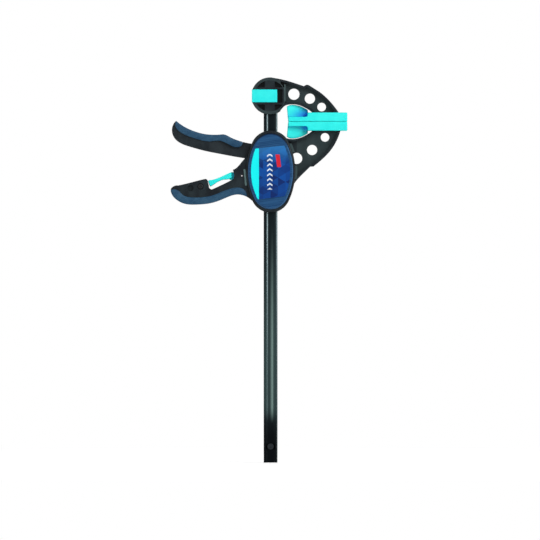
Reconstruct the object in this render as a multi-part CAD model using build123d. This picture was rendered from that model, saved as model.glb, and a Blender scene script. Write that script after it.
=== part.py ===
from build123d import *
import math
import os

# One-handed quick release bar clamp, in millimetres.
# The bar stands upright along Z and the jaws reach out along +X. Y is the thickness.
# The origin is the middle of the fixed jaw's clamping face. Side outlines are drawn in
# bar coordinates: first the distance from the bar's axis, then the height above that face.

# Layout
capacity = 300.0            # widest opening between the two pads
reach = 59.0                # bar axis to the middle of the pads
pad_gap = 0.3               # play between the closed pads
running_gap = 0.3           # play of the carriage and the plates around the bar
pin_play = 0.05             # radial play of a lever on its pin
seat_play = 0.1             # play of a piece that is pushed into its seat

# Steel bar and its two studs
bar_width = 17.6
bar_thickness = 6.4
bar_corner = 1.2
groove_width = 11.2
groove_floor = 8.0          # between the groove's sloping walls
groove_depth = 1.0
stud_margin = 20.4          # stud axis to the bar's end
stud_shank_radius = 2.8
stud_head_radius = 3.9
stud_head_height = 2.3
stud_chamfer = 0.5

# Fixed jaw
head_height = 32.4          # middle of the round head above the clamping face
head_radius = 23.5
head_offset = -1.0          # middle of the head from the bar's axis
head_root_radius = 20.8     # round wall of the head towards the arm
head_depth = 22.0
head_corner = 1.5           # rounds the step from one radius to the other
head_rim = 3.8              # wall around the pockets in the head's face
head_band = 12.6            # raised band over the bar
head_pocket_depth = 6.5
root_rib_x = 17.3           # rib between the head and the arm
root_rib_low = 25.5
root_rib_high = 47.0
arm_depth = 19.0            # width of the arms' flanges
arm_web = 5.0               # wall between the flanges
flange = 3.0
hole_radii = (7.1, 6.5, 5.5)
edge_round = 0.8

# Pads
pad_length = 76.8
pad_depth = 28.0
pad_plate = 5.8             # height of the pressure plate
pad_block = 11.4            # height of the solid block below the arm
pad_block_length = 50.2
pad_undercut = 1.6          # overhang of the wing's tip past the plate
pad_round = 0.9
wing_depth = 5.0            # thickness of the wing under the throat, next to the block
wing_lean = 10.5            # degrees that each side of the wing opens towards its free edge
wing_play = 0.9             # gap between the wing and the arm
wing_corner = 2.2
wing_cove = 1.8
foot_length = 44.5          # foot of the arm, from the throat to the pad's outer end
tongue_depth = 16.0
tongue_height = 3.0
tongue_lip = 2.2            # pad above the tongue
tongue_length = 33.0

# Jaw lock button
button_width = 32.2
button_height = 16.4
button_web_height = 11.0    # web that joins the cheeks left of the bar
button_left = 23.8          # left end of the button from the bar's axis
button_travel = 6.0
button_play = 0.4
slot_right = 15.3           # right end of the slot from the bar's axis
slot_wall = 2.2             # bars of the head above and below the slot
socket_wall = 2.0           # wall of the fixed jaw left of the bar
button_bore_radius = 2.6
button_bore_depth = 4.0
button_spring_radius = 1.9
button_spring_wire = 0.5
button_spring_turns = 6

# Carriage: oval body
body_drop = 63.5            # middle of the oval below the clamping face
body_half_width = 31.4
body_half_height = 52.1
body_end_radius = 25.4
body_depth = 31.0
body_round = 2.4
cavity_half_width = 27.2
cavity_half_height = 43.0
cavity_end_radius = 21.2
mouth_depth = 7.0           # relief that takes in the stop stud
guide_height = 11.0         # block around the bar below the mechanism
spring_wall = 3.0           # cross wall between drive and brake
wall_bite = 1.0             # how far lugs and cross wall run into the body's wall
tips_left = -130.0          # beyond the tips of the handle and the trigger

# Covers and labels
cover_half_width = 28.7
cover_half_height = 48.0
cover_end_radius = 22.8
cover_gap = 0.4
cover_thickness = 4.2
cover_seat = 3.0            # depth of the cover's recess
cover_bevel = 1.7
peg_radius = 1.6
peg_length = 4.0
label_margin = 3.9          # rim of the cover beside the label
label_thickness = 0.6
label_recess = 0.5

# Fixed handle
handle_depth = 24.0
handle_round = 1.0
handle_slot = 15.4          # slot for the trigger and the release lever
grip_depth = 27.0
grip_tongue = 14.0          # rib inside a soft grip
grip_skin = 3.5
screw_x = -88.9
screw_drop = 82.4
screw_head_radius = 3.6
screw_head_height = 2.4
screw_head_round = 1.0
screw_shank_radius = 1.9
screw_seat = 3.2            # depth of the screw's seat below the handle's face
screw_play = 0.3
cross_length = 4.4
cross_width = 0.9
cross_depth = 1.2
dimple_x = -101.6
dimple_drop = 84.6
dimple_radius = 3.9
dimple_depth = 3.6
rib_depth = 27.0            # narrow ribs beside the oval body
rib_width = 2.6

# Trigger
trigger_depth = 14.0        # part that swings into the handle's slot
trigger_wide = 21.0         # part under the palm
palm_right = -30.0          # right end of that part
taper_left = -78.0          # it narrows from here
taper_right = -46.0         # to the slot's part here
fork_gap = 7.4              # space between the fork's cheeks for the bar
fork_play = 3.4             # from the fork's bottom to the bar
pivot_x = 14.0
pivot_drop = 38.0
pivot_pin_radius = 3.0
pivot_boss_radius = 5.0
lug_thickness = 4.2
cam_x = -19.0
cam_drop = 45.0
cam_radius = 3.0

# Drive plates and spring
plate_thickness = 3.0
plate_width = 20.0
plate_left = 21.2
plate_right = 13.6
plate_corner = 2.0
plate_gap = 0.2
plate_play = 0.5
drive_spring_length = 17.4
drive_spring_turns = 4.5
brake_spring_turns = 3.5
spring_radius = 10.4
spring_wire = 1.4

# Brake plate, its spring and the release lever
brake_thickness = 3.2
brake_play = 0.7
brake_tilt = 5.0            # degrees from square while it holds the bar
fulcrum_x = -13.5
fulcrum_drop = 4.2          # fulcrum edge below the cross wall
fulcrum_width = 3.0
fulcrum_overhang = 5.0      # brake plate's full width beyond the fulcrum
brake_tail = 24.6           # left end of the tail from the bar's axis
brake_tail_width = 12.0
release_pin_x = -36.5
release_pin_drop = 69.0
release_pin_radius = 1.5
pin_recess_radius = 2.3     # recess in the handle around each end of the pin
pin_recess = 0.5            # its depth
pin_proud = 0.2             # the pin's end above the recess
release_boss_radius = 4.0
release_depth = 20.0
release_arm_depth = 13.6
release_tip_radius = 2.0
release_tip_x = -22.5
release_knee_x = -29.4
release_knee_radius = 2.6
release_round = 1.2

# Derived sizes and places
bar_top = head_height + stud_margin
body_bottom = -body_drop - body_half_height
stop_height = body_bottom + mouth_depth - seat_play - capacity - stud_head_radius
bar_bottom = stop_height - stud_margin
stud_room = stud_head_radius + running_gap
stud_reach = bar_thickness + 2 * (stud_head_height + running_gap)
plates_top = -cam_drop - cam_radius - running_gap
plates_bottom = plates_top - 2 * plate_thickness - plate_gap
wall_top = plates_bottom - drive_spring_length
wall_bottom = wall_top - spring_wall
fulcrum_height = wall_bottom - fulcrum_drop
guide_top = -body_drop - cavity_half_height + guide_height
cover_inside = body_depth / 2 - cover_seat
cover_outside = cover_inside + cover_thickness
pad_left = reach - pad_length / 2
pad_right = reach + pad_length / 2
block_left = pad_right - pad_block_length
scoop_right = block_left - (pad_depth - wing_depth) / 2 * math.tan(math.radians(wing_lean))
foot_left = pad_right - foot_length
tongue_top = pad_block - tongue_lip
arm_foot = pad_block + seat_play
slot_half = bar_width / 2 + running_gap

SIDE = Plane(origin=(-reach, 0, 0), x_dir=(1, 0, 0), z_dir=(0, -1, 0))


def outline(start, *strokes):
    """Closed face. Each stroke goes on from the last point: straight to one point, or in
    one smooth curve through several."""
    edges = []
    here = start
    for stroke in strokes:
        if len(stroke) > 1:
            edges.append(Spline(here, *stroke))
        elif math.dist(here, stroke[0]) > 0.01:
            edges.append(Line(here, stroke[0]))
        here = stroke[-1]
    if math.dist(here, start) > 0.01:
        edges.append(Line(here, start))
    return make_face(edges)


def slab(face, depth):
    """The side face as a plate of that depth, half on each side of the middle plane."""
    return extrude(SIDE * face, amount=depth / 2, both=True)


def layer(face, low, high):
    """The side face between two distances from the middle plane, on the front side."""
    return extrude(SIDE.offset(low) * face, amount=high - low)


def both_sides(solid):
    return solid + mirror(solid, about=Plane.XZ)


def planed(stations):
    """Upright solid as tall as the bar, whose depth changes from left to right. A station
    is a distance from the bar's axis and the depth there."""
    front = [(x, -depth / 2) for x, depth in stations]
    back = [(x, depth / 2) for x, depth in reversed(stations)]
    face = make_face(Polyline(*front, *back, close=True))
    return Pos(-reach, 0, bar_bottom) * extrude(face, amount=bar_top - bar_bottom)


def side_box(left, right, low, high):
    return Pos((left + right) / 2, (low + high) / 2) * Rectangle(right - left, high - low)


def disc(x, height, radius):
    return Pos(x, height) * Circle(radius)


def oval(half_width, half_height, end_radius):
    """Upright oval of four arcs about the body's middle."""
    rise = half_height - end_radius
    side_radius = (half_width**2 + rise**2 - end_radius**2) / (2 * (half_width - end_radius))
    share = end_radius / (side_radius - end_radius)
    join_x = share * (side_radius - half_width)
    join_z = rise * (1 + share)
    arcs = [
        ThreePointArc((join_x, -join_z), (half_width, 0), (join_x, join_z)),
        ThreePointArc((join_x, join_z), (0, half_height), (-join_x, join_z)),
        ThreePointArc((-join_x, join_z), (-half_width, 0), (-join_x, -join_z)),
        ThreePointArc((-join_x, -join_z), (0, -half_height), (join_x, -join_z)),
    ]
    return Pos(0, -body_drop) * make_face(arcs)


def inset(face, amount):
    """The side face drawn in by amount all round."""
    return Sketch() + offset(face, amount=-amount, kind=Kind.ARC).face().to_splines()


def round_edges(solid, radius, chosen):
    return fillet(chosen(solid.edges()), radius)


def outer_edges(depth):
    """Edges that lie in the two side faces of a plate of that depth."""
    def chosen(edges):
        return [e for e in edges if abs(abs(e.center().Y) - depth / 2) < 0.01
                and e.bounding_box().size.Y < 0.01]
    return chosen


def coil(radius, wire, length, turns):
    """Helical wire spring that stands on the origin along Z."""
    height = length - wire
    path = Helix(pitch=height / turns, height=height, radius=radius)
    section = Plane(origin=path @ 0, z_dir=path % 0) * Circle(wire / 2)
    return Pos(0, 0, wire / 2) * sweep(section, path=path)


# Bar and studs

def bar():
    profile = fillet(Rectangle(bar_width, bar_thickness).vertices(), bar_corner)
    for side in (-1, 1):
        face = side * bar_thickness / 2
        floor = side * (bar_thickness / 2 - groove_depth)
        profile -= make_face(Polyline((-groove_width / 2, face), (-groove_floor / 2, floor),
                                      (groove_floor / 2, floor), (groove_width / 2, face),
                                      close=True))
    solid = Pos(-reach, 0, bar_bottom) * extrude(profile, amount=bar_top - bar_bottom)
    for height in (head_height, stop_height):
        solid -= slab(disc(0, height, stud_shank_radius), bar_thickness)
    return solid


def stud(height):
    """Shank through the bar with a flat round head on each side."""
    shank_depth = bar_thickness - 2 * groove_depth
    head = layer(disc(0, height, stud_head_radius), shank_depth / 2,
                 bar_thickness / 2 + stud_head_height)
    head = chamfer(head.faces().sort_by(Axis.Y)[0].edges(), stud_chamfer)
    return slab(disc(0, height, stud_shank_radius), shank_depth) + both_sides(head)


# Jaw arms, shared by both jaws. side is 1 for the fixed jaw above the pads and -1 for the
# moving jaw below them.

def throat_curve(side, drop):
    """Edge of an arm from the bar to the pad's block, moved towards the pad by drop."""
    shape = [(pad_left - 2.2, 20.2), (pad_left + 4.4, 21.9), (pad_left + 10.9, 21.8),
             (pad_left + 17.0, 20.4), (pad_left + 23.2, 17.7), (pad_left + 28.4, 14.6)]
    return [(x, side * (z - drop)) for x, z in shape + [(foot_left, arm_foot)]]


def on_head(degrees):
    """Point on the head's rim, counted from the arm's side upwards."""
    turn = math.radians(degrees)
    return head_offset + head_radius * math.cos(turn), head_height + head_radius * math.sin(turn)


def fixed_arm(base):
    return outline(
        on_head(-75),
        [(pad_left - 6.4, 16.2)] + throat_curve(1, 0),
        [(foot_left, base)],
        [(pad_right - 11.0, base)],
        [(pad_right - 11.0, arm_foot)],
        [(pad_right - 15.6, 17.9), (pad_right - 21.9, 25.4), (pad_right - 34.6, 37.0),
         (pad_left + 31.4, 44.0), (pad_left + 26.0, 46.6), (pad_left + 21.8, 44.8)],
        [(pad_left + 10.4, 48.6), (pad_left - 2.3, 52.4), on_head(75)],
        [(0, head_height)],
    )


def moving_arm(base):
    return outline(
        (pad_left - 6.6, -17.0),
        throat_curve(-1, 0),
        [(foot_left, -base)],
        [(pad_right - 8.8, -base)],
        [(pad_right - 8.8, -arm_foot)],
        [(pad_right - 13.2, -23.4), (pad_right - 21.9, -37.3), (pad_right - 34.6, -50.0),
         (pad_left + 33.9, -56.8)],
        [(pad_left + 29.8, -56.9)],
        [(pad_left + 23.1, -63.4), (pad_left + 11.7, -75.4), (25.6, -86.5)],
        [(0, -body_drop)],
    )


def arm(shape, holes, root):
    """Flanged arm: a web pierced by three round holes, with a flange all round, except
    where it grows out of its root."""
    solid = slab(shape(arm_foot), arm_depth)
    rim = [e for e in outer_edges(arm_depth)(solid.edges()) if e.bounding_box().min.X > -reach + 1]
    solid = fillet(rim, edge_round)
    pocket = inset(shape(pad_block - flange), flange) - root
    solid -= both_sides(layer(pocket, arm_web / 2, arm_depth))
    for (x, z), radius in zip(holes, hole_radii):
        solid -= slab(disc(x, z, radius), arm_depth)
    return solid


def tongue(side):
    """T-shaped foot of an arm that the pad slides onto."""
    right = foot_left + tongue_length
    foot = slab(side_box(foot_left, right, tongue_top - tongue_height, tongue_top), tongue_depth)
    stem = slab(side_box(foot_left, right, tongue_top, arm_foot), arm_web)
    solid = foot + stem
    return solid if side == 1 else mirror(solid, about=Plane.XY)


def fixed_jaw():
    """Round head with a socket for the bar, the slot of the lock button, and the arm."""
    root = disc(head_offset, head_height, head_root_radius)
    face = disc(head_offset, head_height, head_radius)
    face = face & side_box(-2 * head_radius, head_band, 0, 2 * head_radius + head_height)
    face = fillet((face + root).vertices(), head_corner)
    head = slab(face, head_depth)
    head = round_edges(head, edge_round, outer_edges(head_depth))
    pockets = disc(head_offset, head_height, head_radius - head_rim)
    pockets -= Pos(head_offset, head_height) * Rectangle(head_band, 3 * head_radius)
    slot_low = head_height - button_height / 2 - button_play
    slot_high = head_height + button_height / 2 + button_play
    pockets -= side_box(-2 * head_radius, head_radius, slot_low - slot_wall,
                        slot_high + slot_wall)
    holes = [(29.6, 34.7), (pad_left + 29.3, 29.1), (pad_left + 44.2, 18.4)]
    solid = head + arm(fixed_arm, holes, root)
    rib = side_box(root_rib_x, root_rib_x + rib_width, root_rib_low, root_rib_high)
    solid += slab(rib, head_depth)
    solid -= both_sides(layer(pockets, head_depth / 2 - head_pocket_depth, head_depth))
    solid += tongue(1)
    # socket for the bar, with channels for the heads of the stud, open at the bottom
    socket_half = bar_width / 2 + seat_play
    socket = side_box(-socket_half, socket_half, 0, bar_top + seat_play)
    solid -= slab(socket, bar_thickness + 2 * seat_play)
    solid -= slab(side_box(-stud_room, stud_room, 0, head_height + stud_room), stud_reach)
    # slot for the lock button: cheeks in both faces, its web through the head's left side
    slot = side_box(-2 * head_radius, slot_right, slot_low, slot_high)
    solid -= both_sides(layer(slot, bar_thickness / 2 + running_gap, head_depth))
    web_half = button_web_height / 2 + button_play
    solid -= slab(side_box(-2 * head_radius, -slot_half - socket_wall,
                           head_height - web_half, head_height + web_half), head_depth)
    return solid


def jaw_lock_button():
    """Two cheeks in front of and behind the bar, joined left of it. A keyhole inside each
    cheek traps the stud's head until the button is pushed in."""
    low = head_height - button_height / 2
    high = head_height + button_height / 2
    block = slab(side_box(-button_left, button_width - button_left, low, high), head_depth)
    block = fillet(block.edges().filter_by(Axis.Y), edge_round)
    block = round_edges(block, edge_round, outer_edges(head_depth))
    web_right = -slot_half - socket_wall - button_travel - running_gap
    web = side_box(-button_left, web_right, head_height - button_web_height / 2,
                   head_height + button_web_height / 2)
    between = side_box(-button_left, head_radius, low, high) - web
    block -= slab(between, bar_thickness + 2 * (running_gap + seat_play))
    keyhole = side_box(-stud_room - button_travel, stud_room,
                       head_height - stud_room, head_height + stud_room)
    keyhole += side_box(-stud_room - button_travel, stud_room - button_travel, low, head_height)
    block -= slab(keyhole, stud_reach)
    bore = Plane(origin=(-reach + web_right, 0, head_height), z_dir=(-1, 0, 0))
    return block - extrude(bore * Circle(button_bore_radius), amount=button_bore_depth)


def lock_button_spring():
    """Spring that lies between the button's bore and the wall left of the bar."""
    length = button_travel + running_gap + button_bore_depth
    spring = coil(button_spring_radius, button_spring_wire, length, button_spring_turns)
    start = -slot_half - socket_wall - length
    return Pos(-reach + start, 0, head_height) * Rot(0, 90, 0) * spring


def pad(side):
    """Soft pad: pressure plate, block with a T slot for the arm's foot, and a wing that
    fills the throat below the arm and is scooped out on both sides."""
    plate_left = pad_left + pad_undercut
    solid = slab(side_box(plate_left, pad_right, 0, pad_block), pad_depth)
    solid = fillet(solid.edges().filter_by(Axis.Y), pad_round)
    solid = round_edges(solid, edge_round, outer_edges(pad_depth))
    solid -= both_sides(wing_scoop())
    wing = outline((plate_left, 0), [(pad_left, 18.9)], throat_curve(1, wing_play)[1:],
                   [(foot_left, 0)])
    wing &= side_box(0, block_left + seat_play, 0, pad_length)
    free_depth = wing_depth + 2 * (scoop_right - pad_left) * math.tan(math.radians(wing_lean))
    solid += slab(wing, pad_depth) & planed(
        [(pad_left, free_depth), (scoop_right, wing_depth), (foot_left, wing_depth)])
    foot_low = tongue_top - tongue_height - seat_play
    solid -= slab(side_box(foot_left - seat_play, 2 * pad_right, foot_low,
                           tongue_top + seat_play), tongue_depth + 2 * seat_play)
    solid -= slab(side_box(foot_left - seat_play, 2 * pad_right, tongue_top, pad_length),
                  arm_web + 2 * seat_play)
    if side == -1:
        solid = Pos(0, 0, -pad_gap) * mirror(solid, about=Plane.XY)
    return solid


def wing_scoop():
    """Tool that scoops out the front of the wing. Its floor leans with the wing's side, and
    it is rounded towards the block and the plate."""
    lean = math.radians(wing_lean)
    floor = Plane(origin=(scoop_right - reach, -wing_depth / 2, 0),
                  x_dir=(math.cos(lean), math.sin(lean), 0),
                  z_dir=(math.sin(lean), -math.cos(lean), 0))
    mouth = side_box(-pad_length, 0, pad_plate, pad_plate + pad_length)
    mouth = fillet(mouth.vertices().sort_by_distance((0, pad_plate, 0))[:1], wing_corner)
    tool = extrude(floor * mouth, amount=pad_depth)
    corner = floor.from_local_coords((0, pad_plate, 0))
    rim = tool.faces().sort_by(Axis.Y)[-1].edges().sort_by_distance(corner)[:3]
    return fillet(rim, wing_cove)


# Carriage

def handle_outline():
    return outline(
        (-30.6, -43.4),
        [(-33.4, -47.8)],
        [(-38.8, -54.1), (-43.0, -58.6), (-47.9, -61.3)],
        [(-46.4, -67.8), (-46.9, -71.6), (-49.0, -74.0)],
        [(-57.9, -78.6), (-64.2, -81.6), (-70.6, -84.6), (-74.6, -86.3)],
        [(-77.4, -84.8), (-78.4, -81.0)],
        [(-79.5, -76.1), (-80.7, -73.7), (-82.8, -72.9)],
        [(-89.6, -74.4), (-102.3, -77.7), (-117.6, -81.2)],
        [(-123.0, -82.2), (-126.6, -86.0), (-126.2, -90.5), (-119.5, -99.3), (-108.7, -104.5),
         (-93.4, -105.4), (-76.9, -103.8), (-57.9, -97.3), (-42.6, -92.6), (-32.5, -94.5),
         (-23.6, -100.6)],
        [(0, -body_drop)],
    )


def handle_grip_face():
    return outline(
        (-126.7, -86.9),
        [(-122.4, -86.0), (-117.6, -87.2), (-111.2, -93.2), (-102.3, -96.1), (-89.6, -96.3),
         (-76.9, -94.6), (-57.9, -87.6), (-45.2, -84.1), (-36.0, -84.9), (-31.6, -89.0),
         (-30.4, -95.4)],
        [(-30.4, body_bottom)],
        [(tips_left, body_bottom)],
        [(tips_left, -86.9)],
    ) & handle_outline()


def up_to_the_wall():
    """The cavity, grown a little so that what is cut to it runs into the body's wall."""
    return oval(cavity_half_width + wall_bite, cavity_half_height + wall_bite,
                cavity_end_radius + wall_bite)


def pivot_lugs():
    """Lugs under the covers that carry the trigger's pin."""
    lug = side_box(pivot_x, body_half_width, -pivot_drop - pivot_boss_radius,
                   -pivot_drop + pivot_boss_radius) & up_to_the_wall()
    lug += disc(pivot_x, -pivot_drop, pivot_boss_radius)
    return both_sides(layer(lug, cover_inside - lug_thickness, cover_inside))


def cross_wall():
    """Wall that seats the drive spring, with the brake plate's fulcrum edge below it."""
    wall = side_box(-body_half_width, body_half_width, wall_bottom, wall_top) & up_to_the_wall()
    edge = outline((fulcrum_x, fulcrum_height + seat_play),
                   [(fulcrum_x + fulcrum_width / 2, wall_bottom)],
                   [(fulcrum_x - fulcrum_width / 2, wall_bottom)])
    return slab(wall, 2 * cover_inside) + slab(edge, plate_width)


def ribs():
    """Narrow ribs beside the oval, on the handle's neck and on the arm's root."""
    neck = outline((-34.4, -60.6), [(-34.4 + rib_width, -60.6)], [(-32.4 + rib_width, -81.4)],
                   [(-32.4, -81.4)])
    band = oval(body_half_width + rib_width, body_half_height + rib_width,
                body_end_radius + rib_width)
    root = band & (side_box(0, 2 * reach, -39.0, -28.0) + side_box(0, 2 * reach, -73.0, -56.0))
    return slab(neck, rib_depth) + slab(root, arm_depth + rib_width)


def carriage():
    """Oval body around the bar with the sliding jaw's arm and the fixed handle, in one."""
    body = slab(oval(body_half_width, body_half_height, body_end_radius), body_depth)
    body = round_edges(body, body_round, outer_edges(body_depth))
    handle = slab(handle_outline(), handle_depth)
    handle = round_edges(handle, handle_round, outer_edges(handle_depth))
    grip_room = slab(handle_grip_face(), grip_depth)
    handle = (handle - grip_room) + slab(inset(handle_outline(), grip_skin), grip_tongue)
    holes = [(33.1, -46.5), (pad_left + 32.1, -35.8), (pad_left + 48.5, -19.8)]
    root = oval(body_half_width, body_half_height, body_end_radius)
    solid = body + handle + Pos(0, 0, -pad_gap) * (arm(moving_arm, holes, root) + tongue(-1))
    cavity = oval(cavity_half_width, cavity_half_height, cavity_end_radius)
    cavity -= side_box(-body_half_width, body_half_width, body_bottom, guide_top)
    solid -= slab(cavity, body_depth)
    recess = oval(cover_half_width + cover_gap, cover_half_height + cover_gap,
                  cover_end_radius + cover_gap)
    solid -= both_sides(layer(recess, cover_inside, body_depth))
    slot = outline((-14.0, -25.0), [(-40.0, -21.0)], [(-70.0, -40.0)], [(-52.0, -77.0)],
                   [(-40.0, -80.0)], [(-33.0, -89.0)], [(-14.0, -89.0)])
    solid -= slab(slot, handle_slot)
    solid += ribs() - slab(cavity, body_depth) - slab(slot, handle_slot)
    solid += cross_wall()
    solid += pivot_lugs()
    way = side_box(-slot_half, slot_half, bar_bottom, bar_top)
    solid -= slab(way, bar_thickness + 2 * running_gap)
    mouth = side_box(-stud_room, stud_room, bar_bottom, body_bottom + mouth_depth)
    solid -= slab(mouth, stud_reach)
    solid -= slab(disc(pivot_x, -pivot_drop, pivot_pin_radius), body_depth)
    solid -= slab(disc(release_pin_x, -release_pin_drop, release_pin_radius), body_depth)
    solid -= both_sides(layer(disc(release_pin_x, -release_pin_drop, pin_recess_radius),
                              handle_depth / 2 - pin_recess, body_depth))
    for height in peg_heights():
        solid -= both_sides(layer(disc(0, height, peg_radius), cover_inside - peg_length,
                                  cover_inside))
    solid -= slab(disc(screw_x, -screw_drop, screw_shank_radius), body_depth)
    solid -= both_sides(layer(disc(screw_x, -screw_drop, screw_head_radius + screw_play),
                              handle_depth / 2 - screw_seat, body_depth))
    solid -= both_sides(layer(disc(dimple_x, -dimple_drop, dimple_radius),
                              handle_depth / 2 - dimple_depth, body_depth))
    return solid


def peg_heights():
    middle = (cavity_half_height + cover_half_height) / 2
    return [-body_drop - middle, -body_drop + middle]


def cover():
    """Oval cover with a bevelled rim, two pegs and a shallow recess for its label."""
    shell = layer(oval(cover_half_width, cover_half_height, cover_end_radius),
                  cover_inside, cover_outside)
    shell = chamfer(shell.faces().sort_by(Axis.Y)[0].edges(), cover_bevel)
    shell -= layer(label_face(seat_play), cover_outside - label_recess, body_depth)
    for height in peg_heights():
        shell += layer(disc(0, height, peg_radius), cover_inside - peg_length, cover_inside)
    return shell


def label_face(grow):
    """Shield-like outline of the label, larger by grow all round."""
    rim = label_margin - grow
    field = oval(cover_half_width - rim, cover_half_height - rim, cover_end_radius - rim)
    band = outline((-cover_half_width, -35.7 + grow), [(cover_half_width, -29.3 + grow)],
                   [(cover_half_width, -93.4 - grow)], [(-cover_half_width, -100.6 - grow)])
    return field & band


def label():
    return layer(label_face(0), cover_outside - label_recess,
                 cover_outside - label_recess + label_thickness)


def handle_grip():
    solid = slab(handle_grip_face(), grip_depth)
    return solid - slab(inset(handle_outline(), grip_skin), grip_tongue)


def handle_screw():
    """Pan head in the front recess, shank through the handle and a nut at the back."""
    seat = handle_depth / 2 - screw_seat
    top = seat + screw_head_height
    head = layer(disc(screw_x, -screw_drop, screw_head_radius), seat, top)
    head = fillet(head.faces().sort_by(Axis.Y)[0].edges(), screw_head_round)
    for turn in (0, 90):
        cross = Pos(screw_x, -screw_drop) * Rot(0, 0, turn) * Rectangle(cross_length, cross_width)
        head -= layer(cross, top - cross_depth, top)
    return head + slab(disc(screw_x, -screw_drop, screw_shank_radius), 2 * seat)


def handle_nut():
    seat = handle_depth / 2 - screw_seat
    flats = Pos(screw_x, -screw_drop) * RegularPolygon(screw_head_radius, 6)
    hole = disc(screw_x, -screw_drop, screw_shank_radius)
    return mirror(layer(flats - hole, seat, seat + screw_head_height), about=Plane.XZ)


# Trigger

def trigger_outline():
    return outline(
        (-119.7, 0.8),
        [(-108.7, -7.1), (-96.0, -12.7), (-83.3, -16.0), (-70.6, -16.9), (-60.4, -16.3)],
        [(-56.6, -17.2), (-51.5, -19.8), (-38.8, -24.9), (-26.1, -27.9), (-14.0, -29.0)],
        [(pivot_x, -pivot_drop + pivot_boss_radius)],
        [(pivot_x, -pivot_drop - pivot_boss_radius)],
        [(cam_x + cam_radius, -cam_drop)],
        [(cam_x - cam_radius, -cam_drop)],
        [(cam_x - 2 * cam_radius, -cam_drop + 2.0)],
        [(-27.6, -46.9)],
        [(-31.2, -46.8)],
        [(-44.0, -44.8), (-64.2, -41.0), (-83.3, -37.2), (-102.3, -32.0), (-114.4, -27.4),
         (-121.8, -21.4), (-125.1, -13.0), (-123.9, -4.6), (-119.7, 0.8)],
    )


def trigger_grip_face():
    return outline(
        (-119.7, 4.0),
        [(-121.0, -3.0)],
        [(-120.4, -7.6), (-113.8, -14.2), (-102.3, -19.6), (-89.6, -23.6), (-76.9, -25.4),
         (-64.2, -24.6), (-58.6, -26.4), (-51.5, -30.1), (-42.6, -32.8), (-37.2, -30.9),
         (-35.3, -26.0)],
        [(-35.3, -10.0)],
        [(-80.0, 4.0)],
    ) & trigger_outline()


def palm_face():
    return trigger_outline() & side_box(tips_left, palm_right, body_bottom, bar_top)


def trigger_core():
    """Wide under the palm, and narrowed smoothly to what swings into the handle's slot."""
    palm = round_edges(slab(palm_face(), trigger_wide), handle_round, outer_edges(trigger_wide))
    palm &= planed([(tips_left, trigger_wide), (taper_left, trigger_wide),
                    (taper_right, trigger_depth), (palm_right, trigger_depth)])
    boss = slab(disc(pivot_x, -pivot_drop, pivot_boss_radius), trigger_depth)
    return slab(trigger_outline(), trigger_depth) + palm + boss


def trigger_tongue():
    """Rib inside the soft grip."""
    return slab(inset(palm_face(), grip_skin), grip_tongue)


def trigger_lever():
    solid = trigger_core() - slab(trigger_grip_face(), grip_depth)
    solid += trigger_tongue()
    solid += slab(disc(cam_x, -cam_drop, cam_radius), trigger_depth)
    fork = side_box(-slot_half - fork_play, body_half_width, body_bottom, bar_top)
    solid -= slab(fork, fork_gap)
    return solid - slab(disc(pivot_x, -pivot_drop, pivot_pin_radius + pin_play), trigger_depth)


def trigger_grip():
    return slab(trigger_grip_face(), grip_depth) - trigger_tongue()


def trigger_pin():
    return slab(disc(pivot_x, -pivot_drop, pivot_pin_radius), 2 * cover_inside)


# Drive and brake

def drive_plate(top):
    face = Rectangle(plate_left + plate_right, plate_width)
    solid = extrude(Pos((plate_right - plate_left) / 2, 0) * face, amount=-plate_thickness)
    solid = chamfer(solid.edges().filter_by(Axis.Z), plate_corner)
    hole = Rectangle(bar_width + 2 * plate_play, bar_thickness + 2 * plate_play)
    solid -= extrude(hole, amount=-plate_thickness)
    return Pos(-reach, 0, top) * solid


def drive_spring():
    spring = coil(spring_radius, spring_wire, drive_spring_length, drive_spring_turns)
    return Pos(-reach, 0, wall_top) * spring


def brake_plate():
    """Steel plate, tilted about its fulcrum while it holds the bar. Its tail reaches over
    the release lever's inner end."""
    left = fulcrum_x - fulcrum_overhang
    main = Rectangle(plate_right - left, plate_width)
    solid = extrude(Pos((plate_right + left) / 2, 0) * main, amount=-brake_thickness)
    tail = Rectangle(brake_tail + fulcrum_x, brake_tail_width)
    solid += extrude(Pos((-brake_tail + fulcrum_x) / 2, 0) * tail, amount=-brake_thickness)
    hole = Rectangle(bar_width + 2 * brake_play, bar_thickness + 2 * plate_play)
    solid -= extrude(hole, amount=-brake_thickness)
    solid = Pos(-reach, 0, fulcrum_height) * solid
    hinge = Axis((-reach + fulcrum_x, 0, fulcrum_height), (0, -1, 0))
    return solid.rotate(hinge, brake_tilt)


def brake_spring():
    lift = (-spring_radius - fulcrum_x) * math.tan(math.radians(brake_tilt))
    top = fulcrum_height - brake_thickness + lift - seat_play
    spring = coil(spring_radius, spring_wire, top - guide_top, brake_spring_turns)
    return Pos(-reach, 0, guide_top) * spring


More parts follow.
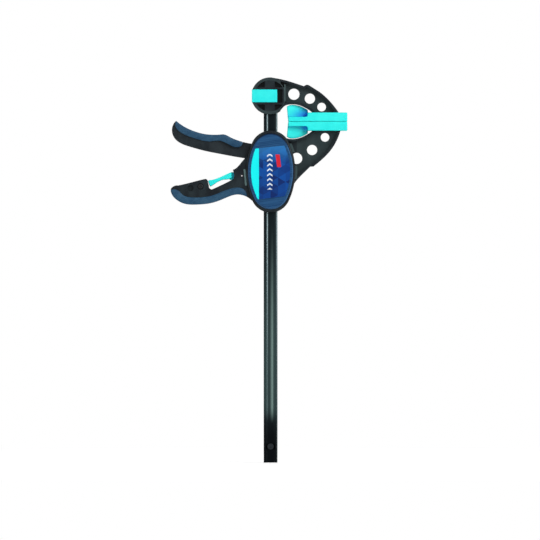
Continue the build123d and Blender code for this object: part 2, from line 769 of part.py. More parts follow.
def release_lever():
    """Finger lever in the handle's notch, and its inner arm past the pin to the brake."""
    finger = outline(
        (-79.2, -76.3),
        [(-78.2, -74.6), (-76.4, -74.3), (-69.9, -72.9), (-61.1, -69.3), (-49.6, -64.2)],
        [(-49.6, -71.8)],
        [(-53.6, -73.2), (-60.4, -74.0), (-66.2, -76.2), (-71.0, -79.2), (-75.6, -82.2)],
        [(-77.0, -82.5)],
    )
    solid = slab(finger, release_depth)
    solid = round_edges(solid, release_round, outer_edges(release_depth))
    tail_z = fulcrum_height - brake_thickness
    tail_z -= (fulcrum_x - release_tip_x) * math.tan(math.radians(brake_tilt))
    tip_z = tail_z - running_gap - release_tip_radius
    pin_z = -release_pin_drop
    neck = outline((-52.0, -65.6), [(-49.0, -64.2)], [(release_pin_x, pin_z + release_boss_radius)],
                   [(release_pin_x, pin_z - release_boss_radius)], [(-52.0, -74.2)])
    inner = outline((release_pin_x - release_boss_radius, pin_z),
                    [(release_pin_x + release_boss_radius, pin_z)],
                    [(release_knee_x + release_knee_radius, tip_z)],
                    [(release_knee_x - release_knee_radius, tip_z)])
    inner += side_box(release_knee_x, release_tip_x, tip_z - release_tip_radius,
                      tip_z + release_tip_radius)
    arm_face = neck + inner + disc(release_pin_x, pin_z, release_boss_radius)
    arm_face += disc(release_tip_x, tip_z, release_tip_radius)
    arm_face += disc(release_knee_x, tip_z + release_knee_radius - release_tip_radius,
                     release_knee_radius)
    solid += slab(arm_face, release_arm_depth)
    return solid - slab(disc(release_pin_x, pin_z, release_pin_radius + pin_play), release_depth)


def release_pin():
    return slab(disc(release_pin_x, -release_pin_drop, release_pin_radius),
                handle_depth - 2 * (pin_recess - pin_proud))


nodes = {
    "bar": bar(),
    "lock_stud": stud(head_height),
    "stop_stud": stud(stop_height),
    "fixed_jaw": fixed_jaw(),
    "fixed_jaw_pad": pad(1),
    "jaw_lock_button": jaw_lock_button(),
    "lock_button_spring": lock_button_spring(),
    "carriage": carriage(),
    "moving_jaw_pad": pad(-1),
    "front_cover": cover(),
    "rear_cover": mirror(cover(), about=Plane.XZ),
    "front_label": label(),
    "rear_label": mirror(label(), about=Plane.XZ),
    "handle_grip": handle_grip(),
    "handle_screw": handle_screw(),
    "handle_nut": handle_nut(),
    "trigger_lever": trigger_lever(),
    "trigger_grip": trigger_grip(),
    "trigger_pin": trigger_pin(),
    "drive_plate_upper": drive_plate(plates_top),
    "drive_plate_lower": drive_plate(plates_top - plate_thickness - plate_gap),
    "drive_spring": drive_spring(),
    "brake_plate": brake_plate(),
    "brake_spring": brake_spring(),
    "release_lever": release_lever(),
    "release_pin": release_pin(),
}

os.makedirs("parts", exist_ok=True)
for name, solid in nodes.items():
    export_step(solid, f"parts/{name}.step")
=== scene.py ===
import bpy
import bmesh
import math
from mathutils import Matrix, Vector


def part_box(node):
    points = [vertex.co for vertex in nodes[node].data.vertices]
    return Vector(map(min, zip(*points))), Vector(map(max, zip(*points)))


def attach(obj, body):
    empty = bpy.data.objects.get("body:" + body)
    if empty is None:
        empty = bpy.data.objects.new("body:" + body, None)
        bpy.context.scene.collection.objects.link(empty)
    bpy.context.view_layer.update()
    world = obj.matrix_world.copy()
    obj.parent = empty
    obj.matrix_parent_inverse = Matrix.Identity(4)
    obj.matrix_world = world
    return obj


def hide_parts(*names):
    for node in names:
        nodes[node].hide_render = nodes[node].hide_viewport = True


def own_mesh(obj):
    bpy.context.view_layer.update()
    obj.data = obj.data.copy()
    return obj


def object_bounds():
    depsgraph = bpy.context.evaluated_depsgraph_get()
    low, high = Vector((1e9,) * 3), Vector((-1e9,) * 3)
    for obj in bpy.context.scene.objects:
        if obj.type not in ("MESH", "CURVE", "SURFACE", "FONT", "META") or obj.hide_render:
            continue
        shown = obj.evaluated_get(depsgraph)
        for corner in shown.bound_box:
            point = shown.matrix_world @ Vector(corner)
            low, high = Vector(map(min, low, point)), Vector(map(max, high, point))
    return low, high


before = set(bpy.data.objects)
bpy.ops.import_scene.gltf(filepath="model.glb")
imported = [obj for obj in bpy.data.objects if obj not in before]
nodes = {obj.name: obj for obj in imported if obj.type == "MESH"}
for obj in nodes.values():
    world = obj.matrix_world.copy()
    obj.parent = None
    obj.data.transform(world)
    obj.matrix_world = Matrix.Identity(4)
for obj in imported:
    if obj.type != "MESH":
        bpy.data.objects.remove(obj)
cad_low, cad_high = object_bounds()


# Studio: a white floor that fades into a white backdrop, a large soft lamp from the upper right,
# weaker ones from the left and from behind, and a long-lens camera square to the clamp's side.

floor_gap = 0.0006
floor_size = 14.0
floor_glow = 0.40           # what the lamps leave the floor short of white
fade_start = 0.30           # from here to fade_end the floor turns plain white
fade_end = 0.90
world_light = 0.36
camera_distance = 10.0
camera_reach = 40.0
picture_width = 0.6858
picture_centre = Vector((-0.05975, 0.0, -0.1885))
sensor = 36.0
white = (1.0, 1.0, 1.0, 1.0)


def colour(red, green, blue):
    """A colour named by its 8-bit screen values, as the shader needs it."""
    def linear(level):
        share = level / 255
        return share / 12.92 if share <= 0.04045 else ((share + 0.055) / 1.055) ** 2.4
    return (linear(red), linear(green), linear(blue), 1.0)


class Level:
    """A number that varies over a surface. Sums and products of it add their own nodes."""

    def __init__(self, finish, socket):
        self.finish = finish
        self.socket = socket

    def apply(self, operation, first, second=0.0):
        return self.finish.node("ShaderNodeMath", {"operation": operation}, {0: first, 1: second})

    def __add__(self, other):
        return self.apply("ADD", self, other)

    def __sub__(self, other):
        return self.apply("SUBTRACT", self, other)

    def __rsub__(self, other):
        return self.apply("SUBTRACT", other, self)

    def __mul__(self, other):
        return self.apply("MULTIPLY", self, other)

    def least(self, other):
        return self.apply("MINIMUM", self, other)

    def most(self, other):
        return self.apply("MAXIMUM", self, other)

    def size(self):
        return self.apply("ABSOLUTE", self)

    def root(self):
        return self.apply("SQRT", self)

    def whole(self):
        return self.apply("FLOOR", self)

    def part(self):
        """What is left above the whole number."""
        return self.apply("FRACT", self)

    def ramp(self, low, high):
        """0 below low, 1 above high, and smooth between them."""
        settings = {"interpolation_type": "SMOOTHSTEP"}
        inputs = {"Value": self, "From Min": low, "From Max": high}
        return self.finish.node("ShaderNodeMapRange", settings, inputs)


class Finish:
    """A surface finish, built from nodes around one shader."""

    def __init__(self, name, base, **constants):
        self.material = bpy.data.materials.new(name)
        self.material.use_nodes = True
        self.tree = self.material.node_tree
        self.shader = self.tree.nodes["Principled BSDF"]
        self.shader.inputs["Base Color"].default_value = base
        for word, value in constants.items():
            socket = word.replace("_", " ").title().replace("Ior", "IOR")
            self.shader.inputs[socket].default_value = value
        self.coordinates = self.tree.nodes.new("ShaderNodeTexCoord").outputs["Object"]

    def node(self, kind, settings, inputs, output=0):
        made = self.tree.nodes.new(kind)
        for word, value in settings.items():
            setattr(made, word, value)
        for key, value in inputs.items():
            if isinstance(value, Level):
                value = value.socket
            if isinstance(value, bpy.types.NodeSocket):
                self.tree.links.new(value, made.inputs[key])
            else:
                made.inputs[key].default_value = value
        return Level(self, made.outputs[output])

    def axes(self):
        """X, Y and Z on the piece, in metres."""
        split = self.tree.nodes.new("ShaderNodeSeparateXYZ")
        self.tree.links.new(self.coordinates, split.inputs[0])
        return [Level(self, socket) for socket in split.outputs]

    def noise(self, grain, stretch=(1.0, 1.0, 1.0), detail=2.0, turn=0.0):
        """Cloudy pattern whose spots are about grain metres wide, drawn out by stretch and
        turned about Y."""
        scale = [1 / (grain * share) for share in stretch]
        turned = self.node("ShaderNodeMapping", {},
                           {"Vector": self.coordinates, "Rotation": (0.0, math.radians(turn), 0.0)})
        placed = self.node("ShaderNodeMapping", {}, {"Vector": turned, "Scale": scale})
        return self.node("ShaderNodeTexNoise", {}, {"Vector": placed, "Scale": 1.0, "Detail": detail})

    def mix(self, factor, first, second):
        settings = {"data_type": "RGBA"}
        return self.node("ShaderNodeMix", settings, {0: factor, 6: first, 7: second}, output=2)

    def glow(self, strength):
        emission = self.tree.nodes.new("ShaderNodeEmission")
        emission.inputs["Strength"].default_value = strength
        return emission.outputs[0]

    def paint(self, value):
        self.tree.links.new(value.socket, self.shader.inputs["Base Color"])

    def roughen(self, value):
        self.tree.links.new(value.socket, self.shader.inputs["Roughness"])

    def emboss(self, height, depth):
        """Bump of that depth in metres where height is 1."""
        bump = self.node("ShaderNodeBump", {}, {"Height": height, "Distance": depth})
        self.tree.links.new(bump.socket, self.shader.inputs["Normal"])


def distance(aside, above):
    """How far a place lies from where both are 0."""
    return (aside * aside + above * above).root()


def seen_by_eye(finish):
    """1 for what the camera sees, also in a reflection or through glass."""
    rays = finish.tree.nodes.new("ShaderNodeLightPath").outputs
    seen = Level(finish, rays["Is Camera Ray"]).most(Level(finish, rays["Is Glossy Ray"]))
    return seen.most(Level(finish, rays["Is Transmission Ray"]))


floor_mesh = bpy.data.meshes.new("floor")
shape = bmesh.new()
bmesh.ops.create_grid(shape, x_segments=1, y_segments=1, size=floor_size / 2)
bmesh.ops.translate(shape, vec=(0.0, 0.0, cad_low.z - floor_gap), verts=shape.verts)
shape.to_mesh(floor_mesh)
shape.free()
floor = bpy.data.objects.new("floor", floor_mesh)
bpy.context.scene.collection.objects.link(floor)

floor_white = Finish("floor_white", colour(230, 230, 230), roughness=1.0, specular_ior_level=0.0)
seen = seen_by_eye(floor_white)
across, behind, _ = floor_white.axes()
far = distance(across - picture_centre.x, behind).ramp(fade_start, fade_end)
lift = floor_white.node("ShaderNodeMixShader", {}, {0: seen, 1: floor_white.glow(0.0),
                                                    2: floor_white.glow(floor_glow)})
near = floor_white.node("ShaderNodeAddShader", {}, {0: floor_white.shader.outputs[0], 1: lift})
surface = floor_white.node("ShaderNodeMixShader", {}, {0: seen * far, 1: near,
                                                       2: floor_white.glow(1.0)})
floor_white.tree.links.new(surface.socket, floor_white.tree.nodes["Material Output"].inputs["Surface"])
floor.data.materials.append(floor_white.material)

world = bpy.data.worlds.new("studio_white")
world.use_nodes = True
sky = world.node_tree.nodes["Background"]
sky.inputs["Color"].default_value = white
sky.inputs["Strength"].default_value = world_light
backdrop = world.node_tree.nodes.new("ShaderNodeBackground")
backdrop.inputs["Color"].default_value = white
rays = world.node_tree.nodes.new("ShaderNodeLightPath").outputs
last = sky.outputs[0]
for ray in ("Is Camera Ray", "Is Glossy Ray", "Is Transmission Ray"):
    choice = world.node_tree.nodes.new("ShaderNodeMixShader")
    world.node_tree.links.new(rays[ray], choice.inputs[0])
    world.node_tree.links.new(last, choice.inputs[1])
    world.node_tree.links.new(backdrop.outputs[0], choice.inputs[2])
    last = choice.outputs[0]
world.node_tree.links.new(last, world.node_tree.nodes["World Output"].inputs["Surface"])
bpy.context.scene.world = world


def soft_lamp(name, size, power, place):
    """Lamp of that width and height, aimed at the clamp."""
    data = bpy.data.lights.new(name, "AREA")
    data.shape = "RECTANGLE"
    data.size, data.size_y = size
    data.energy = power
    lamp = bpy.data.objects.new(name, data)
    lamp.location = place
    aim = picture_centre - Vector(place)
    lamp.rotation_euler = aim.to_track_quat("-Z", "Y").to_euler()
    bpy.context.scene.collection.objects.link(lamp)


soft_lamp("key_lamp", (0.9, 1.2), 30.0, (1.2, -1.6, 0.9))
soft_lamp("fill_lamp", (0.8, 1.4), 7.5, (-1.6, -1.3, 0.1))
soft_lamp("strip_lamp", (0.3, 1.6), 8.0, (1.8, -0.9, 0.0))
soft_lamp("back_lamp", (1.2, 0.8), 16.0, (-0.4, 1.8, 1.0))

bpy.context.scene.view_settings.view_transform = "Standard"
lens = bpy.data.cameras.new("camera")
lens.sensor_width = sensor
lens.lens = sensor * camera_distance / picture_width
lens.clip_end = camera_reach
camera = bpy.data.objects.new("camera", lens)
camera.location = picture_centre + Vector((0.0, -camera_distance, 0.0))
camera.rotation_euler = (math.pi / 2, 0.0, 0.0)
bpy.context.scene.collection.objects.link(camera)
bpy.context.scene.camera = camera


# Bar: rolled steel with a shallow groove along each face, blackened in an oxide bath and oiled.
# Rolling left fine streaks along it. Painted highlights lie along the groove's left wall and the
# bar's right corner, a painted sheen pales its lower part and the groove's floor there, and
# painted shade darkens its foot.

bar_low, bar_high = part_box("bar")
bar_middle = (bar_low.x + bar_high.x) / 2
bar_half = (bar_high.x - bar_low.x) / 2
foot_shade_rows = (-0.402, -0.368)        # heights over which the painted shade at the foot ends
sheen_start = (-0.384, -0.360)       # and a painted sheen makes the bar paler
sheen_end = (-0.300, -0.120)         # and dark again towards the top
highlight_start = (-0.34, -0.10)       # and over which the painted highlights grow stronger
groove_lip = (-0.0047, -0.0033)     # painted highlight on the groove's wall and lip, across from the bar's middle
groove_dark = -0.0010               # across its floor a painted sheen goes from dark to pale and back
groove_pale = 0.0022
groove_back = 0.0044
# painted highlight along the bar's right corner, between these two distances inside its edge
rim_width = 0.0027
rim_edge = 0.0004
face_depth = (0.0018, 0.0030)       # from inside the bar out to its faces
sharp_blur = 0.0002                 # widths over which the edges of a painted area fade
soft_blur = 0.0003
wide_blur = 0.0004


def between(level, low, high, blur):
    """1 between low and high, fading over blur at both ends."""
    return level.ramp(low - blur, low + blur) * (1 - level.ramp(high - blur, high + blur))


def dress(finish, *names):
    """Gives pieces that come from the frame their finish."""
    for name in names:
        slots = nodes[name].data.materials
        slots.clear()
        slots.append(finish.material)


steel = Finish("blackened_steel", colour(60, 76, 78), metallic=0.85, specular_ior_level=0.2)
across, side, up = steel.axes()
across = across - bar_middle
streaks = steel.noise(0.0016, stretch=(0.5, 0.5, 40.0), detail=3.0)
clouds = steel.noise(0.03, stretch=(1.0, 1.0, 2.5))
# Painted sheen and painted shade by height, painted sheen on the groove's floor, and painted highlights
# on the groove's left wall and the bar's right corner.
painted_sheen = up.ramp(*sheen_start) * (1 - up.ramp(*sheen_end))
highlight_height = up.ramp(*highlight_start)
groove_floor_sheen = across.ramp(groove_dark, groove_pale) * (1 - across.ramp(groove_pale, groove_back))
oxide_and_sheen = steel.mix(painted_sheen * 0.9 + clouds.ramp(0.3, 0.7) * 0.1, colour(15, 22, 26), colour(46, 62, 62))
oxide_and_sheen = steel.mix(1 - up.ramp(*foot_shade_rows), oxide_and_sheen, colour(7, 11, 14))
oxide_and_sheen = steel.mix(painted_sheen * groove_floor_sheen * 0.8, oxide_and_sheen, colour(118, 142, 136))
lip_highlight = between(across, *groove_lip, soft_blur) * (highlight_height * 0.85 + painted_sheen * 0.12)
rim_highlight = across.ramp(bar_half - rim_width, bar_half - rim_edge) * (highlight_height * 0.75 + 0.1)
rim_highlight = rim_highlight * side.size().ramp(*face_depth)
painted_highlight = (lip_highlight + rim_highlight).least(1.0) * (streaks * 0.3 + 0.8)
steel.paint(steel.mix(painted_highlight.least(1.0), oxide_and_sheen, colour(132, 150, 154)))
steel.roughen(streaks * 0.16 + 0.26)
steel.emboss(streaks, 0.00002)
dress(steel, "bar")


# Studs: turned steel pins through the bar with flat heads, darkened like the bar. One locks the
# fixed jaw, and the other stops the sliding jaw at the bar's end.

stud_steel = Finish("dark_zinc", colour(36, 40, 44), metallic=0.9)
turning = stud_steel.noise(0.0006, detail=3.0)
stud_steel.paint(stud_steel.mix(turning.ramp(0.3, 0.7), colour(22, 26, 30), colour(48, 53, 56)))
stud_steel.roughen(turning * 0.2 + 0.28)
stud_steel.emboss(turning, 0.00002)
dress(stud_steel, "lock_stud", "stop_stud")


# Fixed jaw: glass-filled nylon moulding. Its round head holds the bar, and its flanged arm is
# lightened by three holes. The spark-eroded mould gives it a fine even grain.

nylon_dark = colour(14, 20, 26)
nylon_light = colour(32, 42, 46)
head_across = -0.0010               # the head's middle, across from the bar's middle
head_height = 0.0324
head_ring = (0.0197, 0.0240)        # inside and outside of its round rim, from the head's middle
head_rib = (0.0173, 0.0187)         # rib between the head and the arm, across
head_rib_rows = (0.0255, 0.0470)    # and the heights that it runs between
rim_face = (0.0105, 0.0108)         # the rim and the rib stand out past this depth
pocket_floor = (0.0045, 0.0055)     # floors of its pockets, from the middle plane
pocket_end = (0.0165, 0.0170)       # and where the last pocket ends, across
jaw_web = 0.0200                    # the arm's web starts here, across
web_face = (0.0025, 0.0031)         # and its faces lie here, from the middle plane


def grained_nylon(name, dark, light, painted_highlight=None, shaded=None):
    """Black nylon: the fine grain of the mould and faint flow clouds, with a painted highlight
    where the first mask is 1 and painted shade where the second mask is 1."""
    nylon = Finish(name, dark, specular_ior_level=0.14)
    grain = nylon.noise(0.00045, detail=3.0)
    flow = nylon.noise(0.014, stretch=(1.0, 1.0, 1.6), detail=4.0)
    mottled = nylon.mix(flow.ramp(0.3, 0.75), dark, light)
    if painted_highlight:
        mottled = nylon.mix(painted_highlight(nylon), mottled, colour(86, 108, 108))
    if shaded:
        mottled = nylon.mix(shaded(nylon), mottled, colour(5, 7, 12))
    nylon.paint(mottled)
    nylon.roughen(grain * 0.14 + 0.34)
    nylon.emboss(grain, 0.00004)
    return nylon


def web_highlight(across, out, start):
    """Painted highlight on a little of an arm's web, from start outwards."""
    return (1 - out.ramp(*web_face)) * across.ramp(start, start + wide_blur) * 0.16


def jaw_highlights(finish):
    """Painted highlights on the rib at the arm's root, the round rim of the head, and a little of the
    arm's web.
    """
    across, side, up = finish.axes()
    across = across - bar_middle
    out = side.size()
    rib = between(across, *head_rib, sharp_blur) * between(up, *head_rib_rows, wide_blur)
    ring = between(distance(across - head_across, up - head_height), *head_ring, soft_blur)
    return (rib * 0.38 + ring * 0.15) * out.ramp(*rim_face) + web_highlight(across, out, jaw_web)


def pocket_shade(finish):
    """The floors of the head's pockets."""
    across, side, _ = finish.axes()
    deep = 1 - side.size().ramp(*pocket_floor)
    return deep * (1 - (across - bar_middle).ramp(*pocket_end)) * 0.8


black_nylon = grained_nylon("black_nylon", nylon_dark, nylon_light, jaw_highlights, pocket_shade)
dress(black_nylon, "fixed_jaw")


# Pads: soft thermoplastic rubber, pushed onto a T-shaped foot of each jaw. Their edges are
# rounded off, and the scooped wings fill the throat behind the block.

smoothing = 0.5                     # share by which each round evens out a remeshed piece
pad_grain = 0.0005                  # size of the faces of a remeshed pad
pad_rounds = 6
scoop_right = 0.0470                # right end of the scoop, left of the pad's outer end
plate_height = 0.0058
scoop_depth = (0.0105, 0.0125)      # the scoops lie inside this depth, from the middle plane
shade_width = 0.021                 # how far the deep colour reaches across and up
shade_height = 0.0105
upper_shift = 0.35                  # on the upper pad, distances count less by this share
faces_blur = 0.001                  # from the lower pad to the upper one, at their clamping faces
corner_blur = 0.001


def merged_copy(name, node, body):
    """Piece in the shape of a node, with its triangles joined up, that stands for the node."""
    merged = bmesh.new()
    merged.from_mesh(nodes[node].data)
    bmesh.ops.remove_doubles(merged, verts=merged.verts, dist=1e-6)
    mesh = bpy.data.meshes.new(name)
    merged.to_mesh(mesh)
    merged.free()
    piece = bpy.data.objects.new(name, mesh)
    bpy.context.scene.collection.objects.link(piece)
    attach(piece, body)
    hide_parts(node)
    return piece


def finish_copy(piece, finish):
    """Gives a copy smooth shading and its finish."""
    mesh = piece.data
    mesh.polygons.foreach_set("use_smooth", [True] * len(mesh.polygons))
    mesh.materials.clear()
    mesh.materials.append(finish.material)


def rubber_copy(name, node, body, grain, rounds, crown=0):
    """Soft piece, remeshed so that smoothing can round its edges. Rounds of crown smooth it
    sideways alone, which domes its two faces and keeps its outline."""
    piece = merged_copy(name, node, body)
    voxels = piece.modifiers.new("even_faces", "REMESH")
    voxels.mode = "VOXEL"
    voxels.voxel_size = grain
    soft = piece.modifiers.new("round_edges", "SMOOTH")
    soft.factor = smoothing
    soft.iterations = rounds
    if crown:
        dome = piece.modifiers.new("crown_faces", "SMOOTH")
        dome.use_x = dome.use_z = False
        dome.factor = smoothing
        dome.iterations = crown
    graph = bpy.context.evaluated_depsgraph_get()
    finished = bpy.data.meshes.new_from_object(piece.evaluated_get(graph))
    piece.modifiers.clear()
    piece.data = finished
    return piece


def soft_teal(name, shade):
    """Teal rubber or plastic, deeper and bluer where shade is 1."""
    teal = Finish(name, colour(46, 232, 228), specular_ior_level=0.2)
    dust = teal.noise(0.0005, detail=3.0)
    flow = teal.noise(0.02, detail=3.0)
    even = teal.mix(flow.ramp(0.3, 0.75), colour(36, 228, 224), colour(52, 238, 230))
    teal.paint(teal.mix(shade(teal), even, colour(0, 84, 228)))
    teal.roughen(dust * 0.12 + 0.42)
    teal.emboss(dust, 0.00003)
    return teal


def scoop_shade(finish):
    """Deepest in the scoop's corner between the block and the plate, and faint along the plate."""
    across, side, up = finish.axes()
    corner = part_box("fixed_jaw_pad")[1].x - scoop_right
    wide = 1 - up.ramp(-faces_blur, faces_blur) * upper_shift
    aside = (across - corner) * (1 / shade_width) * wide
    above = (up.size() - plate_height) * (1 / shade_height) * wide
    over_plate = above.ramp(-0.04, 0.0)
    near = 1 - distance(aside, above).ramp(0.05, 1.0)
    near = near * over_plate * (1 - aside.ramp(0.02, 0.05))
    along = (1 - above.ramp(0.0, 0.35)) * over_plate * (1 - across.ramp(corner - corner_blur, corner))
    return near.most(along * 0.3) * (1 - side.size().ramp(*scoop_depth)) * 0.95


pad_rubber = soft_teal("teal_rubber", scoop_shade)
for pad, body in (("fixed_jaw_pad", "root"), ("moving_jaw_pad", "carriage")):
    finish_copy(rubber_copy(pad + "_rubber", pad, body, pad_grain, pad_rounds), pad_rubber)


# Jaw lock button: two teal cheeks around the bar, moulded in one, that free the fixed jaw when
# they are pushed in against their spring.

button_low, button_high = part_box("jaw_lock_button")


def button_shade(finish):
    """A little deeper towards the end that slides into the head."""
    across, _, _ = finish.axes()
    return across.ramp(button_low.x, button_high.x) * 0.05


button_plastic = soft_teal("teal_button", button_shade)
dress(button_plastic, "jaw_lock_button")


# Springs: bright music wire, closed and ground at the ends. In the clamp each is squeezed along
# its length, towards the end that is seated, as the piece at its other end moves; here each is a
# smooth-shaded copy of its node, and the squeeze is listed but not applied.

button_travel = 0.0060              # how much shorter each spring is at its joint's upper limit
plates_travel = 0.0094
brake_travel = 0.0005

wire = Finish("spring_wire", colour(150, 152, 156), metallic=1.0)
drawn = wire.noise(0.0004, detail=2.0)
wire.paint(wire.mix(drawn.ramp(0.3, 0.7), colour(136, 139, 144), colour(172, 174, 178)))
wire.roughen(drawn * 0.15 + 0.22)
button_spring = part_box("lock_button_spring")
drive_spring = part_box("drive_spring")
brake_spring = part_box("brake_spring")
up_the_bar = Vector((0.0, 0.0, 1.0))
out_of_the_bar = Vector((1.0, 0.0, 0.0))
squeezes = (
    ("lock_button_spring", "root", "lock_button_push", out_of_the_bar, button_spring[1], button_travel),
    ("drive_spring", "carriage", "drive_plates_push", up_the_bar, drive_spring[0], plates_travel),
    ("brake_spring", "carriage", "brake_tilt", up_the_bar, brake_spring[0], brake_travel))
for spring, body, joint, axis, seat, squeeze in squeezes:
    piece = merged_copy(spring + "_wire", spring, body)
    finish_copy(piece, wire)
    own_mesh(piece)


# Carriage: one large nylon moulding. Its oval body holds the drive and the brake around the bar,
# the sliding jaw's arm grows out of it on the right and the fixed handle on the left.

neck_rib = (-0.0344, -0.0320)       # rib on the handle's neck, across at its upper end
neck_rib_rows = (-0.0814, -0.0606)
neck_rib_lean = 0.096               # its lean, across per height
neck_face = (0.0128, 0.0131)        # the neck's face lies past this depth
root_rib = (0.0242, 0.0342)         # rib at the arm's root, across
root_rib_rows = (-0.073, -0.028)
root_rib_depth = (0.0107, 0.0114)
carriage_web = 0.0330               # the arm's web starts here, across


def carriage_highlights(finish):
    """Painted highlights on the ribs on the handle's neck and at the arm's root, and a little of the
    arm's web.
    """
    across, side, up = finish.axes()
    across = across - bar_middle
    out = side.size()
    leaning = across + (up - neck_rib_rows[1]) * neck_rib_lean
    neck = between(leaning, *neck_rib, sharp_blur) * between(up, *neck_rib_rows, wide_blur)
    neck = neck * out.ramp(*neck_face)
    root = between(out, *root_rib_depth, sharp_blur) * between(across, *root_rib, soft_blur)
    root = root * between(up, *root_rib_rows, wide_blur)
    return neck * 0.95 + root * 0.5 + web_highlight(across, out, carriage_web)


carriage_nylon = grained_nylon("carriage_nylon", nylon_dark, nylon_light, carriage_highlights)
dress(carriage_nylon, "carriage")


# Covers: oval shells of blue plastic, pressed into the body on both sides, with fine lines in
# the mould that run a little uphill. Their bevel gets a painted highlight on the flanks and
# painted shade at the crest.

cover_face = -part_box("front_cover")[0].y
bevel_start = 0.0006                # the bevel begins and ends this far behind the cover's face
bevel_end = 0.0002
crest_rows = (-0.036, -0.022)       # from the flanks up to the crest
line_rise = 8.0                     # degrees

cover_plastic = Finish("blue_plastic", colour(24, 68, 108), specular_ior_level=0.15)
lines = cover_plastic.noise(0.0010, stretch=(34.0, 34.0, 0.6), detail=2.0, turn=line_rise)
_, side, up = cover_plastic.axes()
lined = cover_plastic.mix(lines.ramp(0.35, 0.65), colour(14, 56, 96), colour(36, 80, 122))
# painted highlight on the bevel's flanks and painted shade at its crest
bevel = 1 - side.size().ramp(cover_face - bevel_start, cover_face - bevel_end)
crest_shade = up.ramp(*crest_rows)
flank_highlights = cover_plastic.mix(bevel * (1 - crest_shade) * 0.45, lined, colour(70, 110, 152))
cover_plastic.paint(cover_plastic.mix(bevel * crest_shade * 0.8, flank_highlights, colour(10, 28, 56)))
cover_plastic.roughen(lines * 0.14 + 0.3)
cover_plastic.emboss(lines, 0.00004)
dress(cover_plastic, "front_cover", "rear_cover")


# Labels: film printed with plain shapes under a clear gloss, in a shallow recess of each cover.
# Blue triangles of mixed tones, a teal field on the left, a row of pale chevrons, a red bar.

label_low, label_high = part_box("front_label")
label_middle = (label_low.x + label_high.x) / 2
print_blur = 0.00012
teal_edge = -0.0148                 # right edge of the teal field, from the label's middle
facet = 0.0095                      # height of a triangle, whose sides lean by 60 degrees
facet_across = 0.5
facet_up = 0.866
light_rows = (-0.056, -0.030)       # the print turns lighter over these heights
chevron_x = -0.0010
chevron_half = 0.0034
chevron_pitch = 0.0062
chevron_gap = 0.0006
chevron_stroke = 0.0021
chevron_slope = 0.7
chevron_rows = (-0.0865, -0.0415)
stripe_x = 0.0098                   # the red bar, at the middle of its height
stripe_half = 0.0026
stripe_lean = 0.12
stripe_rows = (-0.0580, -0.0420)

film = Finish("label_film", colour(20, 70, 140), roughness=0.3, specular_ior_level=0.1,
              coat_weight=0.1, coat_roughness=0.1)
across, _, up = film.axes()
across = across - label_middle
first = (across * (1 / facet)).whole()
second = ((across * facet_across + up * facet_up) * (1 / facet)).whole()
third = ((up * facet_up - across * facet_across) * (1 / facet)).whole()
cell = film.node("ShaderNodeCombineXYZ", {}, {0: first, 1: second, 2: third})
tone = film.node("ShaderNodeTexWhiteNoise", {"noise_dimensions": "3D"}, {"Vector": cell})
deep = film.mix(tone, colour(2, 36, 98), colour(8, 74, 154))
blue = film.mix(up.ramp(*light_rows) * 0.65, deep, colour(50, 128, 190))
teal_field = 1 - across.ramp(teal_edge - print_blur, teal_edge + print_blur)
wedge = (up + (across - chevron_x).size() * chevron_slope) * (1 / chevron_pitch)
chevrons = between(wedge.part() * chevron_pitch, chevron_gap, chevron_gap + chevron_stroke, print_blur)
chevrons = chevrons * between(across, chevron_x - chevron_half, chevron_x + chevron_half, print_blur)
chevrons = chevrons * between(up, *chevron_rows, print_blur)
leaning = across + (up - sum(stripe_rows) / 2) * stripe_lean
stripe = between(leaning, stripe_x - stripe_half, stripe_x + stripe_half, print_blur)
stripe = stripe * between(up, *stripe_rows, print_blur)
printed = film.mix(teal_field, blue, colour(18, 238, 240))
printed = film.mix(chevrons * 0.85, printed, colour(226, 236, 244))
film.paint(film.mix(stripe, printed, colour(206, 34, 52)))
dress(film, "front_label", "rear_label")


# Grips: soft blue rubber, moulded over a rib of the handle and of the trigger. The rubber stands
# a little proud, is well rounded, and leaves a fine crease where it meets the nylon.

grip_grain = 0.0006                 # size of the faces of a remeshed grip
grip_rounds = 8
grip_crown = 180

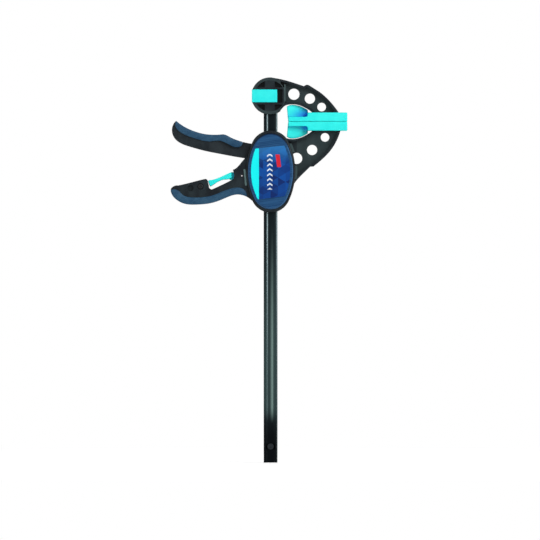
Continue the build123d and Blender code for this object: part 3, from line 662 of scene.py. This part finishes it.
grip_rubber = Finish("blue_rubber", colour(42, 76, 104), specular_ior_level=0.15)
pebbles = grip_rubber.noise(0.0006, detail=2.0)
grip_flow = grip_rubber.noise(0.012, detail=3.0)
grip_rubber.paint(grip_rubber.mix(grip_flow.ramp(0.3, 0.7), colour(30, 64, 92), colour(48, 84, 110)))
grip_rubber.roughen(pebbles * 0.16 + 0.42)
grip_rubber.emboss(pebbles, 0.00005)
for grip, body in (("handle_grip", "carriage"), ("trigger_grip", "trigger")):
    piece = rubber_copy(grip + "_rubber", grip, body, grip_grain, grip_rounds, crown=grip_crown)
    finish_copy(piece, grip_rubber)


# Handle screw and nut: black zinc plated. The screw's head is sunk in a round recess in front
# of the handle, and the nut in one behind.

screw_zinc = Finish("black_zinc", colour(40, 42, 44), metallic=0.8)
plating = screw_zinc.noise(0.0008, detail=3.0)
screw_zinc.roughen(plating * 0.2 + 0.3)
dress(screw_zinc, "handle_screw", "handle_nut")


# Trigger: nylon lever that turns on a steel pin under the covers and pushes the drive plates
# down the bar.

trigger_nylon = grained_nylon("trigger_nylon", colour(18, 25, 30), colour(34, 42, 46))
dress(trigger_nylon, "trigger_lever")


# Pins, drive plates and brake plate: hardened and ground steel inside the body. The release
# lever's pin ends in the neck's face, where it is peened over: dark, and bright in the middle.

pin_low, pin_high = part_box("release_pin")
bright_middle_radius = (0.0006, 0.0011)

ground_steel = Finish("ground_steel", colour(168, 170, 172), metallic=1.0)
grinding = ground_steel.noise(0.0005, stretch=(12.0, 0.6, 1.0), detail=2.0)
ground_steel.roughen(grinding * 0.18 + 0.2)
ground_steel.emboss(grinding, 0.00001)
dress(ground_steel, "trigger_pin", "drive_plate_upper", "drive_plate_lower", "brake_plate")

pin_steel = Finish("peened_steel", colour(60, 62, 64), metallic=0.9)
across, _, up = pin_steel.axes()
from_middle = distance(across - (pin_low.x + pin_high.x) / 2, up - (pin_low.z + pin_high.z) / 2)
bright_middle = 1 - from_middle.ramp(*bright_middle_radius)
pin_steel.paint(pin_steel.mix(bright_middle, colour(40, 43, 46), colour(214, 208, 208)))
pin_steel.roughen(pin_steel.noise(0.0005, detail=2.0) * 0.2 + 0.25)
dress(pin_steel, "release_pin")


# Release lever: teal nylon finger lever in the handle's notch. Its hidden arm tips the brake
# plate square to the bar, which frees the sliding jaw.

lever_root = (-0.1100, -0.1050)     # from here the lever runs back into the notch


def root_shade(finish):
    """Deeper where the lever disappears in the notch."""
    across, _, _ = finish.axes()
    return across.ramp(*lever_root) * 0.4


lever_plastic = soft_teal("teal_lever", root_shade)
dress(lever_plastic, "release_lever")
